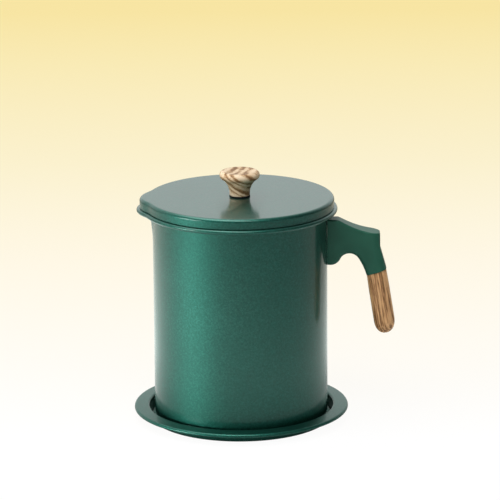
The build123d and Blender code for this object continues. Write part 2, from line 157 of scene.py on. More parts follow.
def arc_through(a, b, c, steps):
    """Points on the arc from a through b to c."""
    (ax, ay), (bx, by), (cx, cy) = a, b, c
    double = 2 * (ax * (by - cy) + bx * (cy - ay) + cx * (ay - by))
    a_far = ax * ax + ay * ay
    b_far = bx * bx + by * by
    c_far = cx * cx + cy * cy
    x = (a_far * (by - cy) + b_far * (cy - ay) + c_far * (ay - by)) / double
    y = (a_far * (cx - bx) + b_far * (ax - cx) + c_far * (bx - ax)) / double
    start, middle, end = (atan2(py - y, px - x) for px, py in (a, b, c))
    turn = (end - start) % (2 * pi)
    if (middle - start) % (2 * pi) > turn:
        turn -= 2 * pi
    radius = hypot(ax - x, ay - y)
    turns = [start + turn * k / steps for k in range(steps + 1)]
    return [(x + radius * cos(t), y + radius * sin(t)) for t in turns]


def even_points(points, pitch):
    """The same run with its points at an even pitch."""
    lengths = [0.0]
    for (ax, ay), (bx, by) in zip(points, points[1:]):
        lengths.append(lengths[-1] + hypot(bx - ax, by - ay))
    total = lengths[-1]
    count = max(2, round(total / pitch))
    even = []
    piece = 0
    for k in range(count + 1):
        s = total * k / count
        while piece < len(points) - 2 and lengths[piece + 1] < s:
            piece += 1
        t = (s - lengths[piece]) / max(1e-9, lengths[piece + 1] - lengths[piece])
        (ax, ay), (bx, by) = points[piece], points[piece + 1]
        even.append((ax + (bx - ax) * t, ay + (by - ay) * t))
    return even


def softened(points, pitch, reach):
    """The same run at an even pitch, its corners worn round by averaging over a reach."""
    even = even_points(points, pitch)
    span = max(1, round(reach / pitch))
    worn = []
    for k in range(len(even)):
        near = min(span, k, len(even) - 1 - k)
        window = even[k - near:k + near + 1]
        worn.append((sum(p[0] for p in window) / len(window), sum(p[1] for p in window) / len(window)))
    return worn


# ------------------------------------------------------------------ surfaces
ROUND_STEPS = 192             # points in a round row


def skin(rows, closed=False):
    """A surface through rows of points, each row a closed loop; a row of one point is a pole."""
    made = bmesh.new()
    loops = [[made.verts.new([c * MM for c in p]) for p in row] for row in rows]
    pairs = list(zip(loops, loops[1:]))
    if closed:
        pairs.append((loops[-1], loops[0]))
    for low, high in pairs:
        count = max(len(low), len(high))
        for i in range(count):
            j = (i + 1) % count
            corner = []
            for loop, k in ((low, i), (low, j), (high, j), (high, i)):
                vert = loop[k] if len(loop) > 1 else loop[0]
                if vert not in corner:
                    corner.append(vert)
            if len(corner) > 2:
                made.faces.new(corner)
    return made


def circle(radius, height, steps=ROUND_STEPS):
    """A row of points round the Z axis."""
    if radius < 1e-6:
        return [(0, 0, height)]
    turn = [2 * pi * (k + 0.5) / steps for k in range(steps)]
    return [(radius * cos(a), radius * sin(a), height) for a in turn]


def turned(profile, steps=ROUND_STEPS, closed=False):
    """A surface of revolution from a profile."""
    return skin([circle(r, z, steps) for r, z in profile], closed)


def finish_mesh(name, made, material, body, replaced, weighted=True):
    """Turns a bmesh into a smooth piece that rides on a body and shows in place of a node of the frame."""
    bmesh.ops.remove_doubles(made, verts=made.verts, dist=1e-7)
    bmesh.ops.recalc_face_normals(made, faces=made.faces)
    mesh = bpy.data.meshes.new(name)
    made.to_mesh(mesh)
    made.free()
    mesh.shade_smooth()
    mesh.materials.append(material)
    piece = bpy.data.objects.new(name, mesh)
    bpy.context.collection.objects.link(piece)
    if weighted:
        normals = piece.modifiers.new("weighted", "WEIGHTED_NORMAL")
        normals.weight = 100
        normals.keep_sharp = True
    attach(piece, body)
    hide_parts(replaced)
    return piece


# ------------------------------------------------------------------ the beaked plan of rim and lid
NOSE_STEPS = 14
HOLLOW_STEPS = 8
EDGE_STEPS = 96


def outline(base):
    """The plan for a round radius: nose arc, hollow arcs and round edge."""
    nose = base + SPOUT_REACH - SPOUT_CENTRE
    far = base + SPOUT_JUNCTION
    near = nose + SPOUT_JUNCTION
    hollow_x = -(far**2 - near**2 + SPOUT_CENTRE**2) / (2 * SPOUT_CENTRE)
    hollow = Vector((hollow_x, sqrt(far**2 - hollow_x**2)))
    nose_turn = atan2(hollow.y, hollow.x + SPOUT_CENTRE)
    round_turn = atan2(hollow.y, hollow.x)
    half = []
    for k in range(NOSE_STEPS):
        a = pi - (pi - nose_turn) * k / NOSE_STEPS
        half.append((-SPOUT_CENTRE + nose * cos(a), nose * sin(a)))
    start = nose_turn + pi
    end = round_turn + pi
    for k in range(HOLLOW_STEPS):
        a = start + (end - start) * k / HOLLOW_STEPS
        half.append((hollow.x + SPOUT_JUNCTION * cos(a), hollow.y + SPOUT_JUNCTION * sin(a)))
    for k in range(EDGE_STEPS + 1):
        a = round_turn * (1 - k / EDGE_STEPS)
        half.append((base * cos(a), base * sin(a)))
    return half + [(x, -y) for x, y in reversed(half[1:-1])]


BEARINGS = [atan2(y, x) for x, y in outline(RIM_RADIUS)]


def beaked(base, height):
    """A row with the beaked plan."""
    return [(x, y, height) for x, y in outline(base)]


def bearing_row(radius_at, height):
    """A row with the beaked plan's bearings and a radius worked out for each."""
    return [(radius_at(a) * cos(a), radius_at(a) * sin(a), height) for a in BEARINGS]


def plain_row(radius, height):
    """A round row with the beaked plan's bearings."""
    if radius < 1e-6:
        return [(0, 0, height)]
    return bearing_row(lambda a: radius, height)


def disc_reach(bearing, centre, radius):
    """Distance from the axis, along a bearing, to the far edge of a disc centred on -X."""
    across = centre * sin(bearing)
    if abs(across) >= radius or cos(bearing) > 0:
        return 0.0
    return -centre * cos(bearing) + sqrt(radius**2 - across**2)


def joined_row(round_radius, centre, radius, height, ease):
    """The plan of a round wall with a disc pressed out of it, the corner between them eased."""

    def reach(bearing):
        gap = disc_reach(bearing, centre, radius) - round_radius
        return round_radius + (gap + sqrt(gap**2 + ease**2)) / 2 - ease / 4

    return bearing_row(reach, height)


# ------------------------------------------------------------------ node trees
class Nodes:
    """The node tree of a material or a world, with short ways to add and join nodes."""

    def __init__(self, owner, output):
        self.owner = owner
        owner.use_nodes = True
        self.tree = owner.node_tree
        self.tree.nodes.clear()
        self.output = self.add(output)

    def give(self, socket, value):
        """Joins a socket to another node's output, or sets it to a value of its own."""
        if hasattr(value, "is_output"):
            self.tree.links.new(value, socket)
        elif socket.type == "RGBA":
            socket.default_value = (*value, 1)
        else:
            socket.default_value = value

    def add(self, kind, inputs=(), **settings):
        """A new node; its settings come first, because they can change which sockets it has."""
        node = self.tree.nodes.new(kind)
        for key, value in settings.items():
            setattr(node, key, value)
        for key, value in dict(inputs).items():
            self.give(node.inputs[key], value)
        return node

    def math(self, operation, a, b=0.0, clamp=False):
        """A calculation with one or two numbers, kept between 0 and 1 if clamped."""
        return self.add("ShaderNodeMath", {0: a, 1: b}, operation=operation, use_clamp=clamp).outputs[0]

    def plus(self, a, b, clamp=False):
        """One number plus another."""
        return self.math("ADD", a, b, clamp)

    def times(self, a, b, clamp=False):
        """One number times another."""
        return self.math("MULTIPLY", a, b, clamp)

    def ramp(self, value, stops):
        """Colour ramp from (position, colour) stops; a number stands for a grey."""
        node = self.add("ShaderNodeValToRGB", {0: value})
        elements = node.color_ramp.elements
        while len(elements) < len(stops):
            elements.new(0.5)
        for element, (position, colour) in zip(elements, stops):
            element.position = position
            element.color = (*colour, 1) if isinstance(colour, tuple) else (colour, colour, colour, 1)
        return node.outputs[0]

    def mirrored(self, path):
        """1 for a ray that metal, clear coat or glass sends on, and 0 for any other."""
        return self.plus(path["Is Glossy Ray"], path["Is Transmission Ray"], clamp=True)

    def finish(self, shader):
        """Ends the tree with its last shader."""
        self.tree.links.new(shader.outputs[0], self.output.inputs[0])
        return self.owner


class MaterialNodes(Nodes):
    """The node tree of a new material."""

    def __init__(self, name):
        super().__init__(bpy.data.materials.new(name), "ShaderNodeOutputMaterial")

    def place(self, turn=(0, 0, 0)):
        """Object coordinates, turned (degrees)."""
        where = self.add("ShaderNodeTexCoord").outputs["Object"]
        inputs = {"Vector": where, "Rotation": [radians(a) for a in turn]}
        return self.add("ShaderNodeVectorRotate", inputs, rotation_type="EULER_XYZ").outputs[0]

    def noise(self, where, scale, detail, roughness=0.5):
        """Noise between 0 and 1; the scale is in cells a metre."""
        inputs = {"Vector": where, "Scale": scale, "Detail": detail, "Roughness": roughness}
        return self.add("ShaderNodeTexNoise", inputs).outputs["Fac"]

    def fall(self, value, near, far, inside, outside):
        """A number that runs from inside to outside while a value runs from near to far."""
        return self.add("ShaderNodeMapRange", {0: value, 1: near, 2: far, 3: inside, 4: outside}).outputs[0]

    def mix(self, factor, a, b, blend="MIX"):
        """Colour a with colour b blended over it."""
        inputs = {0: factor, 6: a, 7: b}
        return self.add("ShaderNodeMix", inputs, data_type="RGBA", blend_type=blend).outputs[2]

    def bump(self, height, strength, distance):
        """A normal from a height; the distance is in metres."""
        inputs = {"Height": height, "Strength": strength, "Distance": distance}
        return self.add("ShaderNodeBump", inputs).outputs[0]

    def principled(self, **inputs):
        """Ends the tree with a Principled BSDF; an underscore stands for a blank in an input's name."""
        named = {key.replace("_", " "): value for key, value in inputs.items()}
        return self.finish(self.add("ShaderNodeBsdfPrincipled", named))


def linear(r, g, b):
    """A colour written in 0-255 display values, as the shader wants it."""
    return tuple(
        c / 255 / 12.92 if c / 255 <= 0.04045 else ((c / 255 + 0.055) / 1.055) ** 2.4 for c in (r, g, b)
    )


# ------------------------------------------------------------------ materials
FLAKE_SCALE = 1500.0          # cells a metre
FLAKE_SHARE = 0.25            # of single flakes in the enamel's specks, the rest are lumps
CLOUD_STRENGTH = 0.2          # of the enamel's slow change of colour
WOOD_WANDER = 2.4             # how far the grain bands wander, in widths of a band
WOOD_SIDE_SCALE = 0.6         # the wood noise's scale sideways, against that across the bands
WOOD_PATCH_SCALE = 2.2        # the scale of the patches, against that of the wander
WOOD_PORE_DEPTH = 0.5         # how much the pores darken the wood
METAL_DULL = 0.86             # share of the colour in a metal's darker grain


def pearl_enamel(name, coat):
    """Green pearl enamel: very fine flakes in a deep green base under a thin clear coat."""
    nodes = MaterialNodes(name)
    where = nodes.place()
    flakes = nodes.add("ShaderNodeTexVoronoi", {"Vector": where, "Scale": FLAKE_SCALE}, feature="F1")
    flake = nodes.add("ShaderNodeSeparateColor", {0: flakes.outputs["Color"]}).outputs[0]
    lumps = nodes.noise(where, scale=640.0, detail=2.0, roughness=0.6)
    clouds = nodes.noise(where, scale=24.0, detail=2.0)
    waves = nodes.noise(where, scale=160.0, detail=1.0)
    speck = nodes.plus(nodes.times(flake, FLAKE_SHARE), nodes.times(lumps, 1 - FLAKE_SHARE))
    speck = nodes.plus(speck, nodes.times(nodes.plus(clouds, -0.5), CLOUD_STRENGTH))
    colours = [(0.25, linear(24, 77, 66)), (0.5, linear(29, 87, 75)), (0.75, linear(39, 101, 88))]
    return nodes.principled(
        Base_Color=nodes.ramp(speck, colours),
        Metallic=1.0,
        Roughness=nodes.ramp(lumps, [(0.3, 0.46), (0.7, 0.54)]),
        Normal=nodes.bump(flake, strength=0.05, distance=0.0002),
        Coat_Weight=coat,
        Coat_Roughness=0.14,
        Coat_IOR=1.37,
        Coat_Normal=nodes.bump(waves, strength=0.02, distance=0.0008),
    )


def green_moulding():
    """Satin dark green moulding with a faint grain."""
    nodes = MaterialNodes("green_moulding")
    where = nodes.place()
    tone = nodes.noise(where, scale=60.0, detail=3.0, roughness=0.6)
    fine = nodes.noise(where, scale=1900.0, detail=2.0, roughness=0.6)
    return nodes.principled(
        Base_Color=nodes.ramp(tone, [(0.3, linear(27, 76, 60)), (0.7, linear(34, 86, 68))]),
        Metallic=0.0,
        Roughness=nodes.ramp(fine, [(0.3, 0.34), (0.7, 0.42)]),
        Normal=nodes.bump(fine, strength=0.05, distance=0.0002),
        Specular_IOR_Level=0.2,
    )


def wood(name, turn, colours, band, ringed, streaked, stretch, sway_scale):
    """Wood-look finish: uneven grain bands along one direction, with fine streaks and pores in them.

    band is the width of a grain band in millimetres, ringed the share of the bands against that of patches,
    streaked the strength of the streaks, stretch the noise's scale along the grain against that across it,
    and sway_scale the scale of the noise that bends the bands.
    """
    pale, light, mid, dark = colours
    nodes = MaterialNodes(name)
    where = nodes.place(turn)
    scale = (1, WOOD_SIDE_SCALE, stretch)
    drawn_out = nodes.add("ShaderNodeMapping", {0: where, "Scale": scale}).outputs[0]
    sway = nodes.noise(drawn_out, scale=sway_scale, detail=2.0)
    patch = nodes.noise(drawn_out, scale=WOOD_PATCH_SCALE * sway_scale, detail=2.0)
    streak = nodes.noise(drawn_out, scale=1100.0, detail=4.0, roughness=0.7)
    pores = nodes.noise(drawn_out, scale=3000.0, detail=3.0, roughness=0.7)
    across = nodes.add("ShaderNodeSeparateXYZ", {0: where}).outputs[0]
    phase = nodes.plus(nodes.times(across, 1 / (band * MM)), nodes.times(sway, WOOD_WANDER))
    wave = nodes.plus(nodes.times(nodes.math("SINE", nodes.times(phase, 2 * pi)), 0.5), 0.5)
    grain = nodes.plus(nodes.times(wave, ringed), nodes.times(patch, 1 - ringed))
    grain = nodes.plus(grain, nodes.times(nodes.plus(streak, -0.5), streaked))
    body = nodes.ramp(grain, [(0.22, pale), (0.46, light), (0.58, mid), (0.72, dark), (0.85, mid)])
    pitted = nodes.ramp(pores, [(0.34, 0.66), (0.5, 1.0)])
    return nodes.principled(
        Base_Color=nodes.mix(WOOD_PORE_DEPTH, body, pitted, "MULTIPLY"),
        Roughness=nodes.ramp(streak, [(0.3, 0.42), (0.7, 0.56)]),
        Normal=nodes.bump(streak, strength=0.1, distance=0.0003),
        Specular_IOR_Level=0.25,
    )


def plain_metal(name, colour, rough):
    """Turned or pressed metal with a fine grain."""
    nodes = MaterialNodes(name)
    grain = nodes.noise(nodes.place(), scale=700.0, detail=4.0, roughness=0.7)
    dull = tuple(c * METAL_DULL for c in colour)
    return nodes.principled(
        Base_Color=nodes.ramp(grain, [(0.3, dull), (0.7, colour)]),
        Metallic=1.0,
        Roughness=nodes.ramp(grain, [(0.3, rough * 0.8), (0.7, rough * 1.25)]),
        Normal=nodes.bump(grain, strength=0.06, distance=0.0002),
    )


def black_rubber():
    """Matt black rubber."""
    nodes = MaterialNodes("black_rubber")
    fine = nodes.noise(nodes.place(), scale=1500.0, detail=3.0, roughness=0.6)
    return nodes.principled(
        Base_Color=nodes.ramp(fine, [(0.3, 0.008), (0.7, 0.018)]),
        Roughness=nodes.ramp(fine, [(0.3, 0.6), (0.7, 0.75)]),
        Normal=nodes.bump(fine, strength=0.1, distance=0.0002),
        Specular_IOR_Level=0.2,
    )


ENAMEL = pearl_enamel("pearl_enamel", coat=1.0)
TRAY_ENAMEL = pearl_enamel("tray_enamel", coat=0.5)
MOULDING = green_moulding()
KNOB_WOOD = wood(
    "knob_wood",
    turn=(0, 58, 12),
    colours=(linear(226, 204, 174), linear(210, 184, 150), linear(166, 130, 92), linear(110, 78, 48)),
    band=4.4,
    ringed=0.28,
    streaked=0.8,
    stretch=0.2,
    sway_scale=80.0,
)
GRIP_WOOD = wood(
    "grip_wood",
    turn=(0, 10, 20),
    colours=(linear(212, 168, 119), linear(193, 148, 101), linear(155, 112, 72), linear(102, 72, 43)),
    band=2.0,
    ringed=0.2,
    streaked=1.2,
    stretch=0.06,
    sway_scale=240.0,
)
STEEL = plain_metal("stainless_steel", linear(196, 196, 192), rough=0.3)
MESH_STEEL = plain_metal("steel_mesh", linear(186, 186, 182), rough=0.34)
BRASS = plain_metal("brass", linear(206, 172, 96), rough=0.3)
RUBBER = black_rubber()

# ------------------------------------------------------------------ drip tray
TRAY_STEPS = 256
TRAY_FLOOR_ROUND = 1.2        # between the floor and the wall, inside
TRAY_FOOT_ROUND = 2.4         # and outside
TRAY_BEND_ROUND = 1.6         # between the wall and the flange, above
TRAY_BEND_UNDER_ROUND = 0.8   # and below
TRAY_LIP_ROUND = 1.6          # of the lip's upper edge, a little fuller than in the frame
TRAY_LIP_UNDER_ROUND = 0.48 * TRAY_LIP_WIDTH      # nearly a full half-round
TRAY_LIP_INNER_ROUND = 0.4


def drip_tray():
    """Pressed dish with a leaning wall, a wide flange and a rolled lip."""
    wall = POT_RADIUS + TRAY_CLEARANCE
    wall_top = wall + TRAY_LEAN
    edge = wall_top + TRAY_FLANGE
    edge_top = TRAY_DEPTH - TRAY_DROP
    lip_foot = edge_top - TRAY_LIP_HEIGHT
    profile = rounded(
        [
            (0, 0, 0),
            (wall + TRAY_SHEET, 0, TRAY_FOOT_ROUND),
            (wall_top + TRAY_SHEET, TRAY_DEPTH - TRAY_SHEET, TRAY_BEND_UNDER_ROUND),
            (edge - TRAY_LIP_WIDTH, edge_top - TRAY_SHEET, TRAY_LIP_INNER_ROUND),
            (edge - TRAY_LIP_WIDTH, lip_foot, TRAY_LIP_UNDER_ROUND),
            (edge, lip_foot, TRAY_LIP_UNDER_ROUND),
            (edge, edge_top, TRAY_LIP_ROUND),
            (wall_top, TRAY_DEPTH, TRAY_BEND_ROUND),
            (wall, TRAY_SHEET, TRAY_FLOOR_ROUND),
            (0, TRAY_SHEET, 0),
        ]
    )
    finish_mesh("tray_body", turned(profile, TRAY_STEPS), TRAY_ENAMEL, "tray", "drip_tray")


drip_tray()

# ------------------------------------------------------------------ pot
PLAIN_WALL_DROP = 6.0         # from the channel's foot down to the end of the plain wall
CHANNEL_ROWS = 8              # from the channel's foot to its lip
MOUTH_ROWS = 12               # and from there to the mouth
CHANNEL_EASE = 0.7            # softness of the corner between the wall and the channel
CHANNEL_OPENING = 1.25        # power by which the channel opens towards the mouth
MOUTH_CURVE = 1.6             # power by which the mouth flares
ROLL_START = 152              # degrees, where the rolled edge leaves the outside of the mouth
ROLL_END = 450                # degrees, on top of the rim
ROLL_STEPS = 22
POT_ARC_STEP = 9              # degrees


def can_rows(radius, floor_height, corner):
    """Rows of a round can from the middle of its floor up its plain wall."""
    wall_top = RIM_TOP - CHANNEL_HEIGHT - PLAIN_WALL_DROP
    corners = [(0, floor_height, 0), (radius, floor_height, corner), (radius, wall_top, 0)]
    return [plain_row(r, z) for r, z in rounded(corners, POT_ARC_STEP)]


def wall_rows(sheet, drop):
    """Rows of the wall from the channel's foot to the mouth; sheet is 0 for the outside."""
    foot = RIM_TOP - CHANNEL_HEIGHT
    lip = RIM_TOP - CHANNEL_LIP
    top = RIM_TOP - drop
    flare_foot = RIM_TOP - MOUTH_FLARE_HEIGHT - drop
    foot_centre = POT_RADIUS - CHANNEL_RADIUS
    lip_centre = foot_centre + CHANNEL_BULGE
    mouth_nose = POT_RADIUS - POT_SHEET + MOUTH_FLARE + SPOUT_REACH - SPOUT_CENTRE
    heights = [foot + (lip - foot) * k / CHANNEL_ROWS for k in range(CHANNEL_ROWS + 1)]
    heights += [lip + (top - lip) * k / MOUTH_ROWS for k in range(1, MOUTH_ROWS + 1)]
    rows = []
    for z in heights:
        flare = max(0.0, (z - flare_foot) / (top - flare_foot))
        wall = POT_RADIUS - sheet + MOUTH_FLARE * flare**MOUTH_CURVE
        if z <= lip:
            pressed = (z - foot) / (lip - foot)
            centre = foot_centre + CHANNEL_BULGE * pressed
            size = CHANNEL_RADIUS - sheet
        else:
            opened = ((z - lip) / (top - lip)) ** CHANNEL_OPENING
            centre = lip_centre + (SPOUT_CENTRE - lip_centre) * opened
            size = CHANNEL_RADIUS - sheet + (mouth_nose + POT_SHEET - CHANNEL_RADIUS) * opened
        rows.append(joined_row(wall, centre, size, z, CHANNEL_EASE))
    return rows


def pot():
    """Drawn can with a pouring channel, a flared mouth and a beaked rolled rim."""
    roll = RIM_ROLL / 2
    roll_points = arc_points((RIM_RADIUS - roll, RIM_TOP - roll), roll, ROLL_START, ROLL_END, ROLL_STEPS)
    rows = can_rows(POT_RADIUS, TRAY_SHEET, POT_ROUND)
    rows += wall_rows(0.0, POT_SHEET)
    rows += [beaked(r, z) for r, z in roll_points]
    rows += wall_rows(POT_SHEET, 0.0)[::-1]
    rows += can_rows(POT_RADIUS - POT_SHEET, TRAY_SHEET + POT_SHEET, POT_ROUND - POT_SHEET)[::-1]
    finish_mesh("pot_body", skin(rows), ENAMEL, "pot", "pot_shell")


pot()

# ------------------------------------------------------------------ lid
LID_FLAT_RADII = (LID_HOLE, 20, 46)     # round rows of the flat, inside the beaked ones
LID_BEAKED_WIDTH = 9          # from the lid's edge in to the first beaked row
LID_EDGE_ROUND = 2.3          # between the flat and the skirt, above
LID_EDGE_UNDER_ROUND = 1.5    # and below
LID_FOOT_ROUND = 0.55         # of the skirt's foot, outside
LID_FOOT_INNER_ROUND = 0.2
LID_ARC_STEP = 9              # degrees


def lid():
    """Pressed lid with a skirt, both with the beaked plan, and a hole for the knob's screw."""
    under = LID_TOP - LID_SHEET
    profile = rounded(
        [
            (LID_RADIUS - LID_BEAKED_WIDTH, LID_TOP, 0),
            (LID_RADIUS, LID_TOP, LID_EDGE_ROUND),
            (LID_RADIUS, RIM_TOP, LID_FOOT_ROUND),
            (LID_RADIUS - LID_SHEET, RIM_TOP, LID_FOOT_INNER_ROUND),
            (LID_RADIUS - LID_SHEET, under, LID_EDGE_UNDER_ROUND),
            (LID_RADIUS - LID_BEAKED_WIDTH, under, 0),
        ],
        LID_ARC_STEP,
    )
    rows = [plain_row(r, LID_TOP) for r in LID_FLAT_RADII]
    rows += [beaked(r, z) for r, z in profile]
    rows += [plain_row(r, under) for r in reversed(LID_FLAT_RADII)]
    finish_mesh("lid_body", skin(rows, closed=True), ENAMEL, "lid", "lid_shell")


lid()

# ------------------------------------------------------------------ knob
KNOB_STEPS = 144
KNOB_CURVE_STEPS = 24
KNOB_DISH_STEPS = 16
KNOB_DISH_MIDDLE = (6.0, 0.53)          # radius and depth of the hollow, half-way out
KNOB_PITCH = 0.3              # between the points of the worn profile
KNOB_WEAR = 0.6               # reach over which its corners are worn round
KNOB_FOOT_INSET = 0.4         # of the foot's flat
KNOB_FOOT_RISE = 0.25         # height over which the foot's edge turns up


def knob():
    """Turned knob with a hollow flank, a round head and a slightly dished top."""
    top = KNOB_TOP[1]
    dish_radius, dish_depth = KNOB_DISH_MIDDLE
    flank = arc_through((KNOB_BASE_RADIUS, 0.0), KNOB_WAIST, KNOB_SHOULDER, KNOB_CURVE_STEPS)
    head = arc_through(flank[-1], KNOB_HEAD, KNOB_TOP, KNOB_CURVE_STEPS)
    dish = arc_through(KNOB_TOP, (dish_radius, top - dish_depth), (0.0, top - KNOB_DISH), KNOB_DISH_STEPS)
    worn = softened(flank + head[1:] + dish[1:], KNOB_PITCH, KNOB_WEAR)
    profile = [(0.0, 0.0), (KNOB_BASE_RADIUS - KNOB_FOOT_INSET, 0.0)]
    profile += [(r, z) for r, z in worn if z > KNOB_FOOT_RISE]
    body = turned([(r, KNOB_FOOT + z) for r, z in profile], KNOB_STEPS)
    finish_mesh("knob_body", body, KNOB_WOOD, "lid", "lid_knob")


knob()

# ------------------------------------------------------------------ gasket
GASKET_STEPS = 96
GASKET_ROUND = 0.25
GASKET_ARC_STEP = 30          # degrees


def gasket():
    """Flat rubber ring between the knob and the lid."""
    profile = rounded(
        [
            (LID_HOLE, LID_TOP, 0),
            (GASKET_RADIUS, LID_TOP, GASKET_ROUND),
            (GASKET_RADIUS, KNOB_FOOT, GASKET_ROUND),
            (LID_HOLE, KNOB_FOOT, 0),
        ],
        GASKET_ARC_STEP,
    )
    ring = turned(profile, GASKET_STEPS, closed=True)
    finish_mesh("gasket_ring", ring, RUBBER, "lid", "knob_gasket")


gasket()

# ------------------------------------------------------------------ grip
GRIP_LENGTH = 45.2            # along the axis from the seam, a little shorter than in the frame
GRIP_TAPER = 0.098            # growth of the half depth with each millimetre away from the pot
GRIP_SLANT_REACH = 12.0       # distance from the seam over which the rows turn square to the axis
GRIP_SWELL = 0.032            # share by which the grip is slimmer at the seam
GRIP_SWELL_REACH = 14.0       # distance from the seam over which it gets its full size
GRIP_CAP_START = 34.7         # where the rounded end begins
GRIP_CAP_POWER = 2.15
GRIP_CAP_STEPS = 16
GRIP_ARC_STEP = 8             # degrees
FACE_DISTANCE = 0.02          # of the grip's upper face from the seam
FACE_MIDDLE = 0.5             # share of the section in the row inside that face
# Rows of the face's rounded edge, as distance from the seam and share cut off, then the plain rows
FACE_EDGE = ((FACE_DISTANCE, 0.07), (0.12, 0.038), (0.3, 0.014), (0.55, 0.0))
GRIP_ROWS = (2, 4, 6, 8, 10, 12, 14, 18, 23, 28, 32, GRIP_CAP_START)

SEAM_POINT = Vector((POT_RADIUS + SEAM_OFFSET, 0, RIM_TOP - ARM_DROP - SEAM_DROP))
GRIP_DOWN = Vector((sin(GRIP_LEAN), 0, -cos(GRIP_LEAN)))
GRIP_ACROSS = Vector((cos(GRIP_LEAN), 0, sin(GRIP_LEAN)))


def grip_section():
    """The grip's section, flatter on the pot's side and rounder on the outer side."""
    half_width = GRIP_WIDTH / 2
    half = rounded(
        [
            (-half_width, 0, 0),
            (-half_width, GRIP_DEPTH / 2 - GRIP_TAPER * half_width, GRIP_INNER_ROUND),
            (half_width, GRIP_DEPTH / 2 + GRIP_TAPER * half_width, GRIP_OUTER_ROUND),
            (half_width, 0, 0),
        ],
        GRIP_ARC_STEP,
    )
    return half + [(x, -y) for x, y in half[-2:0:-1]]


def grip_row(section, distance, scale):
    """The section at a distance from the seam; the first rows lie along the slanted seam."""
    slant = tan(SEAM_LEAN - GRIP_LEAN) * max(0.0, 1 - distance / GRIP_SLANT_REACH)
    row = []
    for x, y in section:
        down = distance - x * scale * slant
        row.append(SEAM_POINT + GRIP_ACROSS * (x * scale) + GRIP_DOWN * down + Vector((0, y * scale, 0)))
    return row


def grip_scale(distance):
    """A little slimmer at the seam, full from there on, then the rounded end."""
    t = min(1.0, distance / GRIP_SWELL_REACH)
    swell = 1 - GRIP_SWELL + GRIP_SWELL * t * t * (3 - 2 * t)
    cap = max(0.0, distance - GRIP_CAP_START) / (GRIP_LENGTH - GRIP_CAP_START)
    return swell * sqrt(max(0.0, 1 - cap**GRIP_CAP_POWER))


def grip():
    """Wood-look grip below the arm."""
    section = grip_section()
    rows = [[SEAM_POINT + GRIP_DOWN * FACE_DISTANCE], grip_row(section, FACE_DISTANCE, FACE_MIDDLE)]
    rows += [grip_row(section, d, grip_scale(d) - cut) for d, cut in FACE_EDGE]
    rows += [grip_row(section, d, grip_scale(d)) for d in GRIP_ROWS]
    for k in range(1, GRIP_CAP_STEPS):
        turn = pi / 2 * k / GRIP_CAP_STEPS
        d = GRIP_CAP_START + (GRIP_LENGTH - GRIP_CAP_START) * sin(turn)
        rows.append(grip_row(section, d, grip_scale(d)))
    rows.append([SEAM_POINT + GRIP_DOWN * GRIP_LENGTH])
    finish_mesh("grip_body", skin(rows), GRIP_WOOD, "pot", "handle_grip")


grip()

# ------------------------------------------------------------------ strainer cup
CUP_FOOT_ROUND = 1.9          # between the wall and the shoulder, outside
CUP_FLANGE_UNDER_ROUND = 0.7  # between the wall and the flange, outside
CUP_INNER_ROUND = 1.3         # of both bends, inside
CUP_EDGE_ROUND = 0.25
CUP_ARC_STEP = 15             # degrees


def strainer_cup():
    """Drawn cup with a flange over the pot's rim and a shoulder that carries the mesh."""
    flange = LID_RADIUS - LID_SHEET - CUP_LID_GAP
    inside = CUP_RADIUS - CUP_SHEET
    ledge = CUP_RADIUS - CUP_LEDGE
    profile = rounded(
        [
            (ledge, CUP_FLOOR, 0),
            (CUP_RADIUS, CUP_FLOOR, CUP_FOOT_ROUND),
            (CUP_RADIUS, RIM_TOP, CUP_FLANGE_UNDER_ROUND),
            (flange, RIM_TOP, CUP_EDGE_ROUND),
            (flange, RIM_TOP + CUP_SHEET, CUP_EDGE_ROUND),
            (inside, RIM_TOP + CUP_SHEET, CUP_INNER_ROUND),
            (inside, CUP_FLOOR + CUP_SHEET, CUP_INNER_ROUND),
            (ledge, CUP_FLOOR + CUP_SHEET, 0),
        ],
        CUP_ARC_STEP,
    )
    cup = turned(profile, closed=True)
    finish_mesh("cup_body", cup, STEEL, "strainer", "strainer_cup")


strainer_cup()

# ------------------------------------------------------------------ strainer mesh
HOLE_RADIUS = 1.15
HOLE_PITCH = 3.3
HOLES_WITHIN = 44.6           # radius of the field of holes
CELL_SIDE = HOLE_PITCH / sqrt(3)
MESH_RIM_STEPS = 144


def hole_cell(made, x, y, height):
    """A six-sided cell of the sheet with a twelve-sided hole in its middle."""

    def ring(radius, count):
        turn = [radians(360 / count * k + 30) for k in range(count)]
        spots = [(x + radius * cos(a), y + radius * sin(a), height) for a in turn]
        return [made.verts.new([c * MM for c in spot]) for spot in spots]

    corners = ring(CELL_SIDE, 6)
    edge = ring(HOLE_RADIUS, 12)
    for k in range(6):
        n = (k + 1) % 6
        made.faces.new((corners[k], corners[n], edge[2 * n], edge[2 * k + 1], edge[2 * k]))


def perforated(radius, height):
    """A round sheet with a field of holes in a triangular pattern, one layer, thickened afterwards."""
    made = bmesh.new()
    rows = ceil(HOLES_WITHIN / HOLE_PITCH) + 2
    for j in range(-rows, rows + 1):
        for i in range(-rows, rows + 1):
            x = HOLE_PITCH * (i + j / 2)
            y = HOLE_PITCH * j * sqrt(3) / 2
            if hypot(x, y) <= HOLES_WITHIN:
                hole_cell(made, x, y, height)
    bmesh.ops.remove_doubles(made, verts=made.verts, dist=1e-6)
    # Open edges are short sides of the holes or, round the field, whole sides of the cells.
    field_edge = [e for e in made.edges if e.is_boundary and e.calc_length() > CELL_SIDE / 2 * MM]
    rim = [made.verts.new([c * MM for c in spot]) for spot in circle(radius, height, MESH_RIM_STEPS)]
    rim_edges = [made.edges.new((a, b)) for a, b in zip(rim, rim[1:] + rim[:1])]
    bmesh.ops.triangle_fill(made, edges=field_edge + rim_edges, use_beauty=True)
    return made


